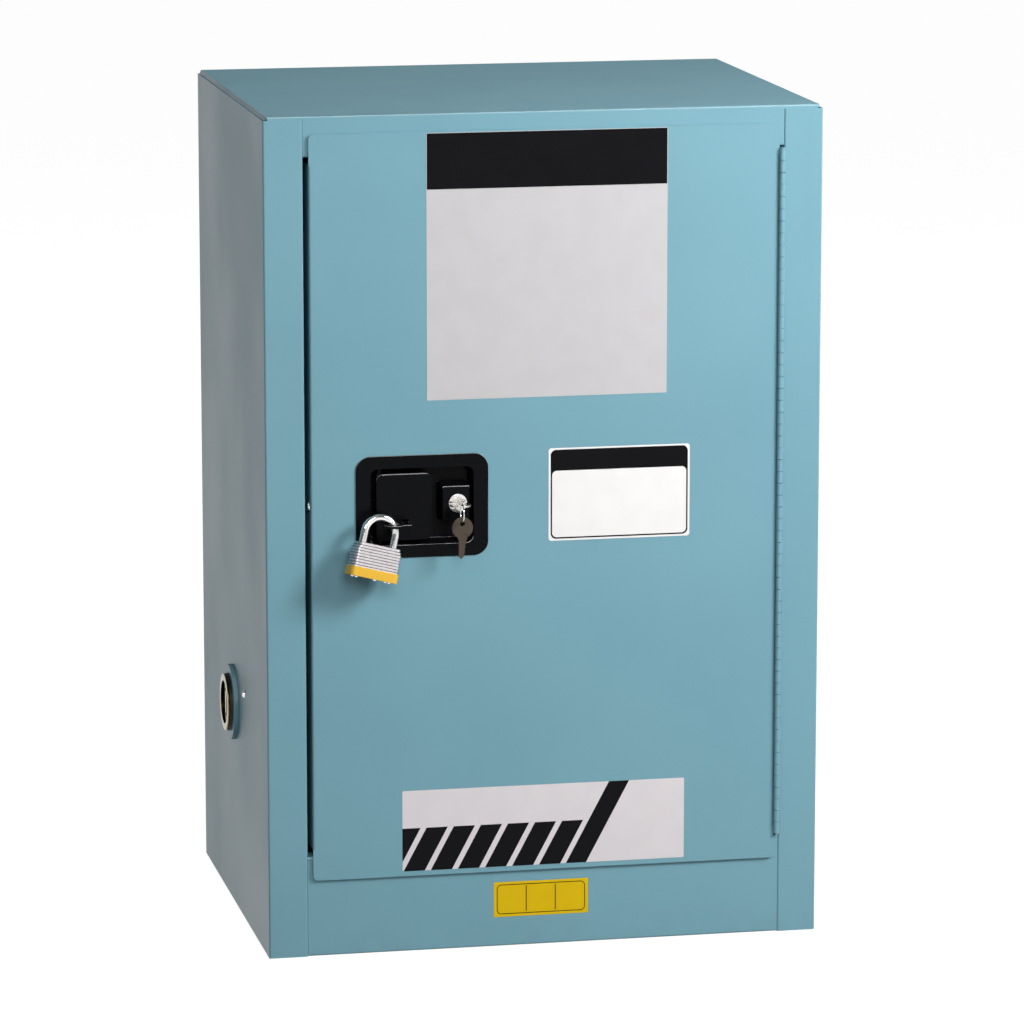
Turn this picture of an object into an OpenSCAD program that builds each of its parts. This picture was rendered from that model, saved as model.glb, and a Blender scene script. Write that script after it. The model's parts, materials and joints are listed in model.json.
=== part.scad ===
// Compact single-door chemical safety cabinet, double-walled steel, closed.
// Millimetres. Origin: on the floor, under the middle of the cabinet body. The door faces -Y.

/* [Cabinet] */
// Outside width of the cabinet body
cab_w = 591; // [540:1:700]
// Outside depth of the cabinet body
cab_d = 457; // [420:1:560]
// Outside height of the cabinet body
cab_h = 889; // [840:1:1000]
// Thickness of the sheet steel
sheet = 1.2; // [1:0.1:1.5]
// Outer radius of the folded sheet edges
bend_r = 2.2; // [1.8:0.1:3]
// Air space in the top, back and bottom walls
air_gap = 38; // [30:1:45]
// Width of each front stile
stile_w = 41.5; // [38:0.5:50]
// Depth of the stile's return into the door opening
stile_lip = 25; // [22:1:32]
// How far the header and sill strips sit behind the stiles
strip_step = 0.8; // [0.6:0.1:1.6]
// Height of the front strip above the door opening
header_h = 37.5; // [34:0.5:44]
// Height of the top panel's turned-down edge
lid_h = 5; // [4:0.5:8]
// How far the top panel stops short of each side
lid_inset = 1; // [0.5:0.5:2]
// Width of the slope along each side of the top panel
lid_slope = 5.5; // [3:0.5:8]
// Width of the relief notch at the top panel's front corners
lid_notch = 3; // [2:0.5:4]
// Height of the door opening's lower edge above the floor
sill_top = 108.5; // [104:0.5:125]
// Depth of the leak-tight basin below that edge
sump_depth = 51; // [46:1:55]
// Gap between the skirts and the floor
skirt_gap = 1; // [0.5:0.1:2]
// Width of the folded flanges
flange_w = 25; // [18:1:28]

/* [Door] */
// Gap between the door's edge and the stile on each side
door_gap = 5.5; // [5:0.1:6]
// How far the door covers the header strip
cover_top = 24; // [18:0.5:28]
// How far the door covers the sill strip
cover_bottom = 25; // [18:0.5:30]
// How far the door's face stands in front of the stiles
door_proud = 2.5; // [2.4:0.1:3.5]
// Thickness of the door
door_t = 38; // [36:1:44]
// Gap above and below the door's box inside the opening
box_gap = 8.5; // [6:0.5:12]
// Radius of the door's four corners
door_corner = 5.5; // [3:0.5:9]
// Depth of the folded hem along the door's top and bottom
hem_w = 12; // [8:1:16]
// Width of the stiffener channel inside the door
stiffener_w = 60; // [40:1:80]

/* [Hinge] */
// Gap between each end of the piano hinge and the door opening
hinge_gap = 2; // [1:0.1:6]
// Length of one hinge knuckle, which is rounded to fill the hinge
knuckle_len = 12.7; // [10:0.1:20]
// Gap between two knuckles
knuckle_play = 0.6; // [0.3:0.1:1]
// Outside diameter of the knuckles
knuckle_d = 6.4; // [6:0.1:6.8]
// Diameter of the hinge pin
hinge_pin_d = 3.2; // [2.5:0.1:3.6]
// Thickness of the hinge leaves
leaf_t = 1.5; // [1.2:0.1:1.8]
// Depth of the hinge leaves behind the pin
leaf_w = 22; // [18:1:24]
// How far the hinge axis stands in front of the stiles
hinge_proud = 4.5; // [4.3:0.1:5]
// Radial clearance of every turning or sliding fit
fit = 0.05; // [0.02:0.01:0.08]

/* [Latch] */
// Distance of the latch pan's centre from the door's free edge
pan_in = 117; // [108:0.5:140]
// Height of the latch pan's centre above the floor
pan_z = 479.8; // [420:0.1:560]
// Width of the latch pan's flange
pan_w = 140; // [136:1:160]
// Height of the latch pan's flange
pan_h = 108; // [100:1:120]
// Corner radius of the latch pan's flange
pan_r = 15; // [8:1:20]
// Thickness of the latch pan
pan_t = 2; // [1.5:0.1:2.2]
// Width of the recess at its mouth
recess_w = 109; // [106:1:120]
// Height of the recess at its mouth
recess_h = 81; // [78:1:90]
// Depth of the recess
recess_d = 20; // [19:0.5:21]
// How much each recess wall leans in from mouth to floor
recess_draft = 3; // [2:0.5:4]
// Width of the paddle
paddle_w = 58.6; // [54:0.1:62]
// Height of the paddle
paddle_h = 70; // [64:0.5:73]
// Radius of the paddle's corners
paddle_r = 8; // [5:0.5:10]
// Thickness of the paddle's face
paddle_t = 3; // [2.5:0.1:3.5]
// Gap between the paddle's hinged edge and the recess wall
paddle_gap = 6; // [5.5:0.1:8]
// Diameter of the paddle's pin
paddle_pin_d = 5; // [4:0.1:6]
// How far the paddle's pin lies behind the pan's face
paddle_pin_back = 6.5; // [6:0.1:7.5]
// Reach of the paddle's arm behind its pin
arm_reach = 20; // [19:0.1:21]
// Width of the paddle's arm
arm_w = 7; // [5:0.5:8]
// Diameter of the latch bolt
bolt_d = 12.7; // [10:0.1:14]
// How far the bolt's axis lies behind the door's face
bolt_back = 15; // [14:0.5:16]
// Gap between the bolt's tip and the strike
bolt_tip_gap = 0.6; // [0.4:0.1:0.8]

/* [Lock] */
// Distance of the lock's axis right of the pan's centre
lock_off_x = 37.7; // [34:0.1:38.5]
// Distance of the lock's axis above the pan's centre
lock_off_z = 2.2; // [0:0.1:4]
// Width of the lock boss at its face
boss_w = 28.5; // [26:0.5:29]
// Height of the lock boss at its face
boss_h = 35.5; // [30:0.5:42]
// Diameter of the lock barrel
barrel_d = 19; // [17:0.1:21]
// Diameter of the turning plug
plug_d = 13; // [12.5:0.1:14]
// Diameter of the key's bow
bow_d = 22.4; // [20:0.1:24]
// Length of the key from the middle of its bow to its tip
key_len = 33; // [31:0.5:36]
// Thickness of the key
key_t = 2; // [1.6:0.1:2.2]
// Width of the key's blade
blade_w = 8; // [7:0.1:8.5]
// Diameter of the hole in the key's bow
key_hole_d = 5; // [4.8:0.1:6]
// Middle diameter of the key ring
ring_d = 18.8; // [18.4:0.1:19.4]
// Wire diameter of the key ring
ring_wire = 1.2; // [1:0.1:1.3]
// Length of the cam behind the lock
cam_len = 55; // [40:1:56]

/* [Padlock] */
// Width of the padlock's case
case_w = 50; // [46:0.5:54]
// Thickness of the padlock's case
case_t = 25; // [22:0.5:26]
// Height of the padlock's case
case_h = 36; // [34:0.5:42]
// Number of steel plates in the padlock's case
case_plates = 12; // [9:1:14]
// Height of the padlock's bumper
bumper_h = 10; // [8:0.5:12]
// Diameter of the shackle
shackle_d = 8; // [7:0.1:9]
// Distance between the shackle's legs
shackle_span = 33; // [32:0.5:36]
// Height of the shackle's straight legs above the case
shackle_rise = 12.2; // [10:0.1:20]
// Thickness of the padlock eye
eye_t = 3; // [2.5:0.1:3.5]

/* [Vents] */
// Distance of the vents behind the front of the cabinet
vent_back = 238; // [200:1:250]
// Height of the lower vent above the floor
vent_low_z = 225; // [200:1:300]
// Distance of the upper vent below the top of the cabinet
vent_down = 150; // [120:1:220]
// Diameter of the painted collar round each vent
collar_d = 82; // [78:1:96]
// Thickness of that collar
collar_t = 5; // [3:0.5:6]
// Outside diameter of the vent tube
tube_d = 62.5; // [61.5:0.5:68]
// Inside diameter of the vent tube
tube_bore = 55; // [52:0.5:56]
// How far the vent tube stands out of the side
tube_proud = 8; // [6:0.5:10]
// Outside diameter of the bung's rim
bung_d = 62; // [60:0.5:66]
// Thickness of the bung's rim
bung_rim = 2; // [1.6:0.2:3]
// Distance of the ground screw behind the front of the cabinet
ground_back = 155; // [90:1:180]
// Height of the ground screw above the floor
ground_z = 251.5; // [200:0.5:320]

/* [Inside] */
// Height of the shelf above the floor
shelf_z = 450; // [400:1:520]
// Height of the shelf's turned-up edges
shelf_lip = 16; // [12:1:22]
// Height of the plastic trays
tray_h = 40; // [30:1:44]
// Wall thickness of the plastic trays
tray_t = 3.5; // [3:0.5:5]
// Spacing of the shelf slots
slot_pitch = 60; // [50:1:75]
// Distance of each column of slots from the middle of the cabinet
slot_y = 140; // [110:1:150]
// Diameter of the levelling feet
foot_d = 32; // [26:1:38]
// Diameter of the levelling feet's stems
stem_d = 9.5; // [8:0.1:11]

/* [Hidden] */
$fn = 64;

paint = "#8fb9c2";
bright = "#c9ccce";
zinc = "#b8bcc0";
gold = "#c9a548";
black = "#1c1d1f";

// Cabinet faces and levels
x_out = cab_w / 2;
y_front = -cab_d / 2;
y_back = cab_d / 2;
open_x = x_out - stile_w;
open_z1 = cab_h - lid_h - header_h;
carcass_top = cab_h - lid_h;
lip_y = y_front + stile_lip;
strip_y = y_front + strip_step;
wall_x = open_x + sheet;
back_y = y_back - 2 * sheet;
inner_back_y = back_y - air_gap - sheet;
basin_z = sill_top - sump_depth;
pan_top_z = basin_z - sheet - air_gap;
inner_top_z = open_z1 + sheet;
weld_lap = 18;
back_lap = 15;
spacer_in = 40;
through = 200;

// Door faces and levels
door_x = open_x - door_gap;
door_y = y_front - door_proud;
door_z0 = sill_top - cover_bottom;
door_z1 = open_z1 + cover_top;
box_z0 = sill_top + box_gap;
box_z1 = open_z1 - box_gap;
door_rear_y = door_y + door_t;
skin_rear_y = door_y + sheet;

// Hinge
hinge_x = open_x - door_gap / 2;
hinge_y = y_front - hinge_proud;
hinge_z0 = sill_top + hinge_gap;
hinge_len = open_z1 - hinge_gap - hinge_z0;
knuckles = round(hinge_len / knuckle_len);
knuckle_pitch = hinge_len / knuckles;

// Latch pan, paddle and bolt
pan_x = -door_x + pan_in;
pan_lip = 1.5;
pan_face_y = door_y - pan_lip;
pan_floor_y = pan_face_y + recess_d;
paddle_face_y = pan_face_y - 1;
paddle_x0 = pan_x - recess_w / 2 + paddle_gap;
paddle_pin_x = paddle_x0 + 4;
paddle_pin_y = pan_face_y + paddle_pin_back;
ear_r = paddle_pin_d / 2 + 2;
ear_h = 9;
arm_y = paddle_pin_y + arm_reach;
arm_h = 6;
lock_x = pan_x + lock_off_x;
lock_z = pan_z + lock_off_z;
bolt_y = door_y + bolt_back;
bolt_z = lock_z;
bar_t = 3;
bar_y = arm_y - bar_t / 2;
bar_h = 20;
bar_x1 = paddle_pin_x + 15;
guide_len = 25;
bolt_tip_x = -open_x + bolt_tip_gap;
bolt_tail_x = pan_x - recess_w / 2 - pan_t - 14;
strike_half = 22;
strike_w = 19;
slot_w = 9.5;
slot_h = 7;

// Lock and keys
lock_face_y = pan_face_y - 1;
boss_draft = 3;
boss_aside = 1.8;
barrel_rear_y = pan_floor_y + pan_t + 5;
cam_t = 2.5;
key_out = 13;
bow_y = lock_face_y - key_out;
bow_rim = 6.8;
hole_up = bow_d / 2 - bow_rim;
seat_gap = 0.35;
ring_y = bow_y - hole_up - 6;
ring_r = ring_d / 2;
ring_z = lock_z - 6.7;
spare_z = ring_z - ring_r + ring_wire / 2 + seat_gap - key_hole_d / 2;

// Padlock: its own frame has its origin where the shackle crosses the eye
eye_x = paddle_x0 + 15.5;
eye_y = pan_face_y - 16.5;
eye_z = pan_z - 16.7;
neck_x = eye_x + 14;
eye_hole_d = shackle_d + 4;
eye_rim = 4;
lock_yaw = 6;
lock_lean = -8;
lock_tilt = 15;
bend_drop = 10.3;
bend_radius = shackle_span / 2;
bend_x = -sqrt(pow(bend_radius, 2) - pow(bend_drop, 2));
case_top = -bend_drop - shackle_rise;
heel_in = 29;
toe_in = 8;
plate_pitch = case_h / case_plates;
plate_groove = 0.5;
plate_step = 1.1;
rivet_d = 3.5;

// Vents
vent_y = y_front + vent_back;
vent_high_z = cab_h - vent_down;
bung_plug = 20;
tube_ledge = 3;
bung_gap = 0.3;

// Shelf, trays and feet
shelf_y0 = door_rear_y + 12;
shelf_y1 = inner_back_y - 3;
shelf_x = wall_x - 3;
clip_w = 18;
clip_h = 32;
clip_t = 1.5;
clip_ledge = 14;
tray_gap = 3;
tray_r = 14;
foot_in = flange_w + foot_d / 2 + 4;
foot_x = x_out - sheet - foot_in;
foot_y0 = lip_y + foot_in;
foot_y1 = back_y - foot_in;
foot_h = 6;
foot_rest = 1;
nut_h = 8;
nut_w = 17;
stem_top = basin_z - sheet - 8;

// ---------- shapes used by several pieces ----------

// A box between two corners
module block(lo, hi) {
    translate(lo) cube(hi - lo);
}

// A rounded rectangle about the origin
module round_rect(w, h, r) {
    square([w - 2 * r, h], center = true);
    square([w, h - 2 * r], center = true);
    for (sx = [-1, 1], sy = [-1, 1])
        translate([sx * (w / 2 - r), sy * (h / 2 - r)]) circle(r = r);
}

// A rounded block that narrows from its base to its top, which may stand to one side
module taper(w0, h0, w1, h1, r, depth, aside = 0) {
    skin = 0.01;
    hull() {
        linear_extrude(skin) round_rect(w0, h0, r, $fn = 32);
        translate([aside, 0, depth - skin]) linear_extrude(skin) round_rect(w1, h1, r, $fn = 32);
    }
}

// A folded sheet in section: a rounded rectangle, hollow, from one corner to another
module fold(x0, y0, x1, y1) {
    translate([(x0 + x1) / 2, (y0 + y1) / 2]) difference() {
        round_rect(x1 - x0, y1 - y0, bend_r);
        round_rect(x1 - x0 - 2 * sheet, y1 - y0 - 2 * sheet, bend_r - sheet);
    }
}

// Local x to the right, local y up, local z out of the door towards the viewer
module facing(x, y, z) {
    translate([x, y, z]) rotate([90, 0, 0]) children();
}

// Local z points out of the left side of the cabinet
module left_side(y, z) {
    translate([-x_out, y, z]) rotate([0, -90, 0]) children();
}

// The same piece on the right side, at its own height
module right_side(y, z) {
    translate([x_out, y, z]) rotate([0, 90, 0]) children();
}

// A section drawn in depth and height, run across the cabinet
module across(half) {
    translate([half, 0, 0]) rotate([90, 0, -90]) mirror([1, 0, 0]) linear_extrude(2 * half) children();
}

// ---------- outer body ----------

module side_section() {
    difference() {
        fold(-x_out, y_front, -open_x, y_back);
        translate([-x_out + flange_w, lip_y]) square([stile_w, cab_d]);
    }
}

module side_panel(vent_z) {
    difference() {
        union() {
            translate([0, 0, skirt_gap]) linear_extrude(carcass_top - skirt_gap) side_section();
            block([-x_out + sheet / 2, lip_y, carcass_top - sheet], [-x_out + flange_w, back_y, carcass_top]);
        }
        left_side(vent_y, vent_z) cylinder(d = tube_d, h = 20, center = true);
    }
}

module side_panel_left() {
    color(paint) difference() {
        side_panel(vent_low_z);
        left_side(y_front + ground_back, ground_z) cylinder(d = 5, h = 20, center = true);
        translate([-open_x - sheet / 2, bolt_y, bolt_z]) rotate([0, 90, 0]) cylinder(d = bolt_d + 2, h = 6, center = true);
    }
}

module side_panel_right() {
    color(paint) mirror([1, 0, 0]) side_panel(vent_high_z);
}

// The top panel in section across the cabinet, from a low level up: its sides slope in
module lid_section(wall, low) {
    slope = lid_slope / lid_h;
    foot = x_out - lid_inset - wall * norm([1, slope]);
    high = lid_h - wall;
    polygon([[-foot + slope * low, low], [foot - slope * low, low],
             [foot - slope * high, high], [-foot + slope * high, high]]);
}

module lid_run(wall, low) {
    translate([0, y_back - wall, carcass_top]) rotate([90, 0, 0]) linear_extrude(cab_d - 2 * wall) lid_section(wall, low);
}

module top_panel() {
    notch_in = 4;
    color(paint) difference() {
        intersection() {
            lid_run(0, 0);
            translate([0, 0, cab_h - cab_d / 2]) rotate([90, 0, 90])
                linear_extrude(2 * cab_w, center = true) round_rect(cab_d, cab_d, bend_r);
        }
        lid_run(sheet, -1);
        for (side = [0, 1]) mirror([side, 0, 0])
            block([-x_out, y_front - 1, carcass_top - 1], [-x_out + lid_inset + lid_notch, y_front + notch_in, cab_h - sheet]);
    }
}

module front_header() {
    color(paint) across(open_x) difference() {
        fold(strip_y, open_z1, lip_y, carcass_top);
        translate([lip_y - sheet - 1, open_z1 + sheet]) square([sheet + 2, carcass_top - open_z1]);
    }
}

module front_sill() {
    color(paint) across(open_x) difference() {
        fold(strip_y, skirt_gap, lip_y, sill_top);
        translate([lip_y - sheet - 1, skirt_gap + sheet]) square([sheet + 2, sill_top - skirt_gap - 2 * sheet]);
    }
}

module back_panel() {
    half = x_out - bend_r;
    color(paint) union() {
        block([-half, back_y, skirt_gap], [half, back_y + sheet, carcass_top]);
        block([-half + flange_w, back_y - flange_w, carcass_top - sheet], [half - flange_w, back_y + sheet / 2, carcass_top]);
    }
}

// An upturned pan: the ring of its flange is what the cabinet stands on
module bottom_pan() {
    half = x_out - sheet;
    color(paint) difference() {
        block([-half, lip_y, 0], [half, back_y, pan_top_z]);
        block([-half + sheet, lip_y + sheet, sheet], [half - sheet, back_y - sheet, pan_top_z - sheet]);
        block([-half + flange_w, lip_y + flange_w, -1], [half - flange_w, back_y - flange_w, sheet + 1]);
        feet_at() cylinder(d = stem_d + 2, h = through, center = true);
    }
}

// ---------- inner body ----------

module shelf_slots() {
    rows = floor((inner_top_z - sill_top - 100) / slot_pitch);
    for (row = [-rows : rows], y = [-slot_y, slot_y]) {
        z = shelf_z - 24 + row * slot_pitch;
        if (z > sill_top + 30 && z < inner_top_z - 40)
            block([-wall_x - 5, y - 2, z], [-wall_x + 5, y + 2, z + 14]);
    }
}

module inner_side(vent_z) {
    difference() {
        union() {
            block([-wall_x - sheet, lip_y - weld_lap, basin_z - sheet],
                  [-wall_x, inner_back_y + sheet, inner_top_z + sheet]);
            block([-wall_x - back_lap, inner_back_y, basin_z - sheet],
                  [-wall_x - sheet / 2, inner_back_y + sheet, inner_top_z + sheet]);
        }
        left_side(vent_y, vent_z) cylinder(d = tube_d, h = through, center = true);
        shelf_slots();
    }
}

module inner_side_left() {
    room = strike_half + 1;
    color(paint) difference() {
        inner_side(vent_low_z);
        block([-wall_x - 5, lip_y - weld_lap - 1, bolt_z - room], [-wall_x + 1, bolt_y + strike_w / 2 + 1, bolt_z + room]);
    }
}

module inner_side_right() {
    color(paint) mirror([1, 0, 0]) inner_side(vent_high_z);
}

module inner_back() {
    color(paint) union() {
        block([-wall_x, inner_back_y, basin_z - sheet], [wall_x, inner_back_y + sheet, inner_top_z]);
        for (x = [-wall_x + spacer_in, wall_x - spacer_in - sheet])
            block([x, inner_back_y + sheet / 2, basin_z], [x + sheet, back_y, inner_top_z]);
    }
}

module inner_top() {
    color(paint) union() {
        block([-wall_x, lip_y, inner_top_z], [wall_x, inner_back_y + sheet, inner_top_z + sheet]);
        block([-open_x, lip_y - weld_lap, inner_top_z], [open_x, lip_y + 1, inner_top_z + sheet]);
    }
}

module spill_basin() {
    wall_top = sill_top - sheet;
    color(paint) difference() {
        block([-wall_x, lip_y - sheet, basin_z - sheet], [wall_x, inner_back_y, wall_top]);
        block([-wall_x + sheet, lip_y, basin_z], [wall_x - sheet, inner_back_y - sheet, wall_top + 1]);
        for (side = [-1, 1])
            block([side * wall_x - 2 * sheet, lip_y - 5, basin_z - 5], [side * wall_x + 2 * sheet, lip_y, wall_top + 1]);
    }
}

// ---------- shelf, clips and trays ----------

module shelf_clip() {
    translate([-wall_x, 0, 0]) {
        block([0, -clip_w / 2, shelf_z - clip_h], [clip_t, clip_w / 2, shelf_z]);
        block([0, -clip_w / 2, shelf_z - clip_t], [clip_ledge, clip_w / 2, shelf_z]);
        block([-sheet - 2.5, -1.5, shelf_z - 22], [clip_t / 2, 1.5, shelf_z - 14]);
        block([-sheet - 2.5, -1.5, shelf_z - 27], [-sheet - 0.5, 1.5, shelf_z - 14]);
    }
}

module shelf_clips() {
    color(zinc) for (side = [0, 1], y = [-slot_y, slot_y])
        mirror([side, 0, 0]) translate([0, y, 0]) shelf_clip();
}

module shelf() {
    color(zinc) difference() {
        block([-shelf_x, shelf_y0, shelf_z], [shelf_x, shelf_y1, shelf_z + shelf_lip]);
        block([-shelf_x + sheet, shelf_y0 + sheet, shelf_z + sheet],
              [shelf_x - sheet, shelf_y1 - sheet, shelf_z + shelf_lip + 1]);
    }
}

// A moulded tray with a rolled rim
module tray(x, y0, y1, z) {
    depth = y1 - y0;
    translate([0, (y0 + y1) / 2, z]) difference() {
        union() {
            linear_extrude(tray_h) round_rect(2 * x - 8, depth - 8, tray_r);
            translate([0, 0, tray_h - 4]) linear_extrude(4) round_rect(2 * x, depth, tray_r + 4);
        }
        translate([0, 0, tray_t])
            linear_extrude(tray_h) round_rect(2 * x - 8 - 2 * tray_t, depth - 8 - 2 * tray_t, tray_r - tray_t);
    }
}

module shelf_tray() {
    inset = sheet + tray_gap;
    color("#e8e9e4") tray(shelf_x - inset, shelf_y0 + inset, shelf_y1 - inset, shelf_z + sheet);
}

module sump_tray() {
    inset = sheet + tray_gap;
    color("#e8e9e4") tray(wall_x - inset - 2, lip_y + inset, inner_back_y - inset, basin_z);
}

// ---------- vents and ground screw ----------

// A painted round plate with the fitting's tube through it
module vent_collar() {
    difference() {
        cylinder(d = collar_d, h = collar_t);
        translate([0, 0, -1]) cylinder(d = tube_d, h = collar_t + 2);
    }
}

module vent_collar_left() {
    color(paint) left_side(vent_y, vent_low_z) vent_collar();
}

module vent_collar_right() {
    color(paint) right_side(vent_y, vent_high_z) vent_collar();
}

module vent_tube() {
    inner = x_out - wall_x;
    difference() {
        translate([0, 0, -inner]) cylinder(d = tube_d, h = inner + tube_proud);
        translate([0, 0, -inner - 1]) cylinder(d = tube_bore - 2 * tube_ledge, h = inner);
        translate([0, 0, tube_proud - bung_plug - 2]) cylinder(d = tube_bore, h = bung_plug + 3);
    }
}

module vent_tube_left() {
    color(black) left_side(vent_y, vent_low_z) vent_tube();
}

module vent_tube_right() {
    color(black) right_side(vent_y, vent_high_z) vent_tube();
}

// A perforated disc that covers the tube's inner end
module flame_screen() {
    face = -(x_out - wall_x);
    translate([0, 0, face - 1.5]) difference() {
        cylinder(d = tube_d + 16, h = 1.5);
        for (ring = [1 : 4], i = [0 : 6 * ring - 1])
            rotate(i * 60 / ring) translate([ring * 5.2, 0, -1]) cylinder(d = 3.2, h = 4, $fn = 16);
    }
}

module flame_screen_left() {
    color(bright) left_side(vent_y, vent_low_z) flame_screen();
}

module flame_screen_right() {
    color(bright) right_side(vent_y, vent_high_z) flame_screen();
}

// A pressed drum bung: a rolled rim, a dished face and a cross bar to turn it by
module vent_bung() {
    plug = tube_bore / 2 - fit;
    rim = bung_d / 2;
    dish = 8;
    base = tube_proud + bung_gap;
    difference() {
        union() {
            rotate_extrude() translate([0, base]) difference() {
                union() {
                    translate([0, -bung_plug]) square([plug, bung_plug + 1]);
                    square([rim - bung_rim / 2, bung_rim]);
                    translate([rim - bung_rim / 2, bung_rim / 2]) circle(d = bung_rim);
                }
                translate([0, bung_rim - dish]) square([plug - 4, dish + 1]);
                translate([0, -bung_plug - 1]) square([plug - 3, bung_plug - dish + bung_rim - 1]);
            }
            translate([0, 0, base + bung_rim - dish]) {
                intersection() {
                    translate([-rim, -4, -0.5]) cube([2 * rim, 8, dish - 1.5]);
                    translate([0, 0, -1]) cylinder(r = plug - 3.5, h = dish + 2);
                }
            }
        }
        for (a = [0, 180]) rotate(a) translate([plug / 2, 0, base + bung_rim - 5]) cylinder(d = 4.5, h = 10);
    }
}

module vent_bung_left() {
    color(gold) left_side(vent_y, vent_low_z) vent_bung();
}

module vent_bung_right() {
    color(gold) right_side(vent_y, vent_high_z) vent_bung();
}

// A domed screw head over a washer, with a cross recess
module ground_screw() {
    color(bright) left_side(y_front + ground_back, ground_z) difference() {
        union() {
            translate([0, 0, -10]) cylinder(d = 4.8, h = 11);
            cylinder(d = 9, h = 0.8);
            translate([0, 0, 0.8]) intersection() {
                cylinder(d = 7, h = 3);
                translate([0, 0, -2.6]) sphere(r = 5);
            }
        }
        for (a = [0, 90]) rotate(a) translate([-2, -0.5, 1.8]) cube([4, 1, 3]);
    }
}

// ---------- levelling feet ----------

module feet_at() {
    for (x = [-foot_x, foot_x], y = [foot_y0, foot_y1]) translate([x, y, 0]) children();
}

module foot() {
    rotate_extrude() polygon([
        [0, foot_rest], [foot_d / 2 - 1.5, foot_rest], [foot_d / 2, foot_rest + 1.5],
        [foot_d / 2, foot_h - 1], [foot_d / 2 - 4, foot_rest + foot_h], [stem_d / 2, foot_rest + foot_h],
        [stem_d / 2, stem_top - 1], [stem_d / 2 - 1, stem_top], [0, stem_top]
    ]);
}

module foot_front_left() {
    color(zinc) translate([-foot_x, foot_y0, 0]) foot();
}

module foot_front_right() {
    color(zinc) translate([foot_x, foot_y0, 0]) foot();
}

module foot_back_left() {
    color(zinc) translate([-foot_x, foot_y1, 0]) foot();
}

module foot_back_right() {
    color(zinc) translate([foot_x, foot_y1, 0]) foot();
}

module foot_nuts() {
    color(zinc) feet_at() translate([0, 0, pan_top_z]) difference() {
        cylinder(d = nut_w / cos(30), h = nut_h, $fn = 6);
        translate([0, 0, -1]) cylinder(d = stem_d + 2 * fit, h = nut_h + 2);
    }
}

// ---------- hinge ----------

module knuckle_row(first) {
    for (i = [first : 2 : knuckles - 1])
        translate([hinge_x, hinge_y, hinge_z0 + i * knuckle_pitch + knuckle_play / 2]) children();
}

// Leaf on the plane x = edge, running from the pin back along the flange it is welded to
module hinge_leaf(first, edge) {
    length = knuckle_pitch - knuckle_play;
    clear = hinge_y + knuckle_d / 2 + 0.5;
    difference() {
        union() {
            block([edge, clear, hinge_z0], [edge + leaf_t, hinge_y + leaf_w, hinge_z0 + hinge_len]);
            knuckle_row(first) {
                cylinder(d = knuckle_d, h = length);
                translate([edge - hinge_x, 0, 0]) cube([leaf_t, clear - hinge_y + 1, length]);
            }
        }
        translate([hinge_x, hinge_y, hinge_z0 - 1]) cylinder(d = hinge_pin_d + 2 * fit, h = hinge_len + 2);
    }
}

module hinge_frame_leaf() {
    color(paint) hinge_leaf(0, open_x - leaf_t);
}

module hinge_door_leaf() {
    color(paint) hinge_leaf(1, door_x);
}

module hinge_pin() {
    head = hinge_pin_d + 1.4;
    color(paint) translate([hinge_x, hinge_y, hinge_z0]) {
        cylinder(d = hinge_pin_d, h = hinge_len);
        for (z = [-0.8, hinge_len]) translate([0, 0, z]) cylinder(d = head, h = 0.8);
    }
}

// ---------- door ----------

module door_outline() {
    facing(0, skin_rear_y, (door_z0 + door_z1) / 2)
        linear_extrude(sheet) round_rect(2 * door_x, door_z1 - door_z0, door_corner);
}

module door_skin() {
    color(paint) difference() {
        union() {
            difference() {
                door_outline();
                for (side = [-1, 1])
                    translate([side * door_x, door_y, (box_z0 + box_z1) / 2])
                        cube([2 * bend_r, 10, box_z1 - box_z0], center = true);
            }
            translate([0, 0, box_z0]) linear_extrude(box_z1 - box_z0) difference() {
                fold(-door_x, door_y, door_x, door_rear_y + 10);
                translate([-door_x - 1, door_rear_y]) square([2 * door_x + 2, 20]);
            }
            for (z = [door_z0 + 1, door_z1 - 1 - hem_w])
                block([-door_x + door_corner, skin_rear_y - 0.01, z], [door_x - door_corner, skin_rear_y + sheet, z + hem_w]);
        }
        facing(pan_x, door_y, pan_z) linear_extrude(20, center = true)
            round_rect(recess_w + 2 * pan_t + 2, recess_h + 2 * pan_t + 2, 10);
        translate([-door_x, bolt_y, bolt_z]) rotate([0, 90, 0]) cylinder(d = bolt_d + 1.5, h = 10, center = true);
    }
}

module door_back() {
    side = door_x - sheet;
    lap = 11;
    corner = bend_r - sheet;
    color(paint) difference() {
        block([-side, skin_rear_y, box_z0], [side, door_rear_y, box_z1]);
        block([-side + sheet, skin_rear_y - 1, box_z0 + sheet], [side - sheet, door_rear_y - sheet, box_z1 - sheet]);
        block([-side - 1, skin_rear_y - 1, box_z0 + sheet], [side + 1, door_rear_y - lap, box_z1 - sheet]);
        for (x = [-side, side])
            block([x - corner, skin_rear_y - 1, box_z0 - 1], [x + corner, skin_rear_y + corner, box_z1 + 1]);
    }
}

// Hat channel between the door's two skins
module door_stiffener() {
    depth = door_rear_y - sheet - skin_rear_y;
    brim = 12;
    color(zinc) translate([door_x / 4, skin_rear_y, box_z0 + 12]) linear_extrude(box_z1 - box_z0 - 24) difference() {
        union() {
            translate([-stiffener_w / 2, 0]) square([stiffener_w, depth]);
            translate([-stiffener_w / 2 - brim, 0]) square([stiffener_w + 2 * brim, sheet]);
        }
        translate([-stiffener_w / 2 + sheet, -1]) square([stiffener_w - 2 * sheet, depth - sheet + 1]);
    }
}

// ---------- latch ----------

// The recess's volume, grown by a margin, from the face of the pan inwards
module recess_space(grow, depth) {
    w = recess_w + 2 * grow;
    h = recess_h + 2 * grow;
    lean = 2 * recess_draft * depth / recess_d;
    mirror([0, 0, 1]) taper(w, h, w - lean, h - lean, 8 + grow, depth);
}

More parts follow.
